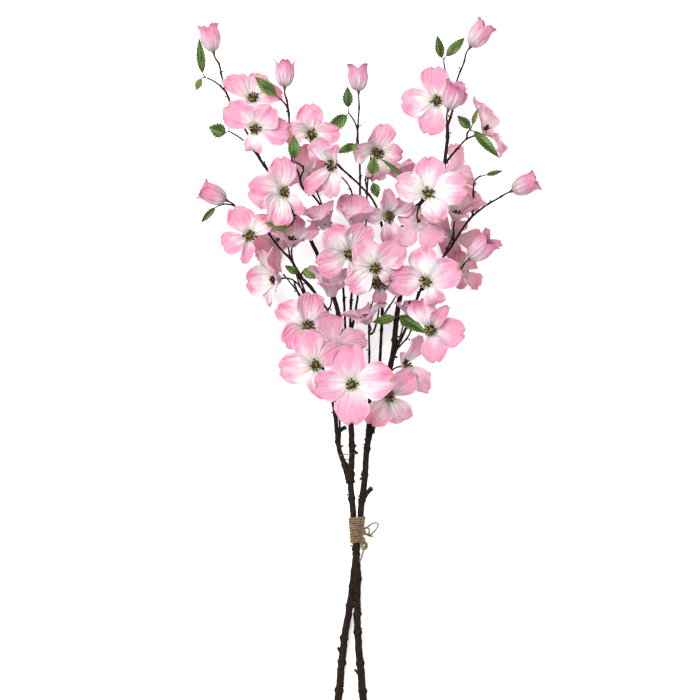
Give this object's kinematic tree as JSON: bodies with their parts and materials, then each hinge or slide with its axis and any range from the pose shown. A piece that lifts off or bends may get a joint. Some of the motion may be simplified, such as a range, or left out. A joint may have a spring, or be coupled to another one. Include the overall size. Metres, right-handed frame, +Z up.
{
  "type": "dogwood flower branch",
  "caption": "Bunch of two dogwood branches with open pink blooms, closed buds and small leaves, tied with twine, lying on a surface.",
  "frame": {"origin": "on the surface that the bunch lies on, under the middle of its outer box", "axes": "+Y along the bunch from the cut ends to the highest bud, +Z up from the surface, +X across the bunch"},
  "size_m": [0.4172, 0.8347, 0.1659],
  "materials": {
    "bark": "rough near-black brown bark",
    "bract": "soft matte petals, white at the heart and pink at the tips, with fine veins",
    "bud": "soft matte petals, grey-green at the foot and pink above",
    "leaf": "matte green leaf with sunken veins",
    "twine": "rough tan jute fibre"
  },
  "bodies": {
    "root": {"branch_left": "bark", "branch_right": "bark", "twine_tie": "twine", "bloom_01": "bract", "bloom_02": "bract", "bloom_03": "bract", "bloom_04": "bract", "bloom_05": "bract", "bloom_06": "bract", "bloom_07": "bract", "bloom_08": "bract", "bloom_09": "bract", "bloom_10": "bract", "bloom_11": "bract", "bloom_12": "bract", "bloom_13": "bract", "bloom_14": "bract", "bloom_15": "bract", "bloom_16": "bract", "bloom_17": "bract", "bloom_18": "bract", "bloom_19": "bract", "bloom_20": "bract", "bloom_21": "bract", "bloom_22": "bract", "bloom_23": "bract", "bloom_24": "bract", "bloom_25": "bract", "bloom_26": "bract", "bloom_27": "bract", "bloom_28": "bract", "bloom_29": "bract", "bloom_30": "bract", "bloom_31": "bract", "bloom_32": "bract", "bloom_33": "bract", "bloom_34": "bract", "bloom_35": "bract", "bloom_36": "bract", "bloom_37": "bract", "bud_1": "bud", "bud_2": "bud", "bud_3": "bud", "bud_4": "bud", "bud_5": "bud", "bud_6": "bud", "bud_7": "bud", "bud_8": "bud", "leaves_01": "leaf", "leaves_02": "leaf", "leaves_03": "leaf", "leaves_04": "leaf", "leaves_05": "leaf", "leaves_06": "leaf", "leaves_07": "leaf", "leaves_08": "leaf", "leaves_09": "leaf", "leaves_10": "leaf", "leaves_11": "leaf", "leaves_12": "leaf"}
  },
  "joints": []
}
